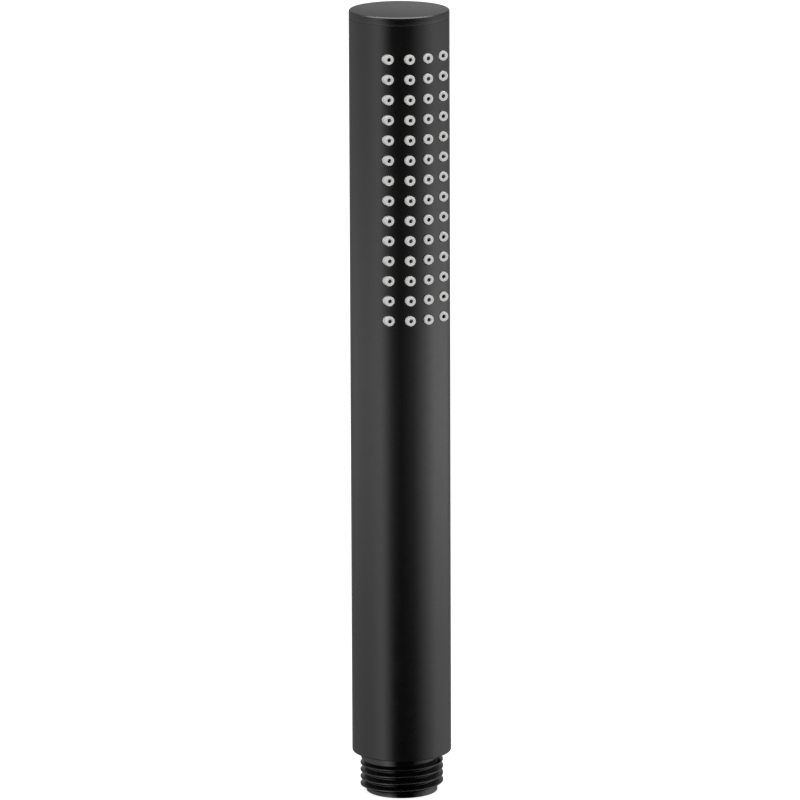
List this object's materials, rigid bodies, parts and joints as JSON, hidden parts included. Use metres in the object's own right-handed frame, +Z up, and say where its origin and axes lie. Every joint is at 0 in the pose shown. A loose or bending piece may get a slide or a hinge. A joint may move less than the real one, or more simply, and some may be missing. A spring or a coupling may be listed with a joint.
{
  "type": "hand shower",
  "caption": "Straight round hand shower with a field of silicone spray nozzles along one side, a flat cap on top and a threaded hose inlet at its foot.",
  "frame": {"origin": "centre of the threaded inlet's end face, on which the hand shower stands", "axes": "+Z up the barrel towards the cap, -Y the way the nozzles spray, +X to the right of the nozzle field seen from the front"},
  "size_m": [0.025, 0.0258, 0.2],
  "materials": {
    "satin_black_paint": "satin black paint",
    "gloss_black_plastic": "gloss black",
    "pale_grey_silicone": "soft translucent pale grey",
    "natural_white_plastic": "natural white moulding",
    "pale_blue_plastic": "pale blue moulding",
    "black_rubber": "matte black"
  },
  "bodies": {
    "root": {"barrel": "satin_black_paint", "top_cap": "satin_black_paint", "nozzle_mat": "pale_grey_silicone", "distributor_plate": "natural_white_plastic", "spray_body": "natural_white_plastic", "inner_tube": "natural_white_plastic", "connector": "gloss_black_plastic", "regulator_body": "pale_blue_plastic", "regulator_flow_ring": "black_rubber", "regulator_cover": "pale_blue_plastic", "regulator_o_ring": "black_rubber", "inlet_filter": "natural_white_plastic", "cap_o_ring": "black_rubber", "spray_body_o_ring": "black_rubber", "tube_upper_o_ring": "black_rubber", "tube_lower_o_ring": "black_rubber", "connector_upper_o_ring": "black_rubber", "connector_lower_o_ring": "black_rubber"}
  },
  "joints": []
}
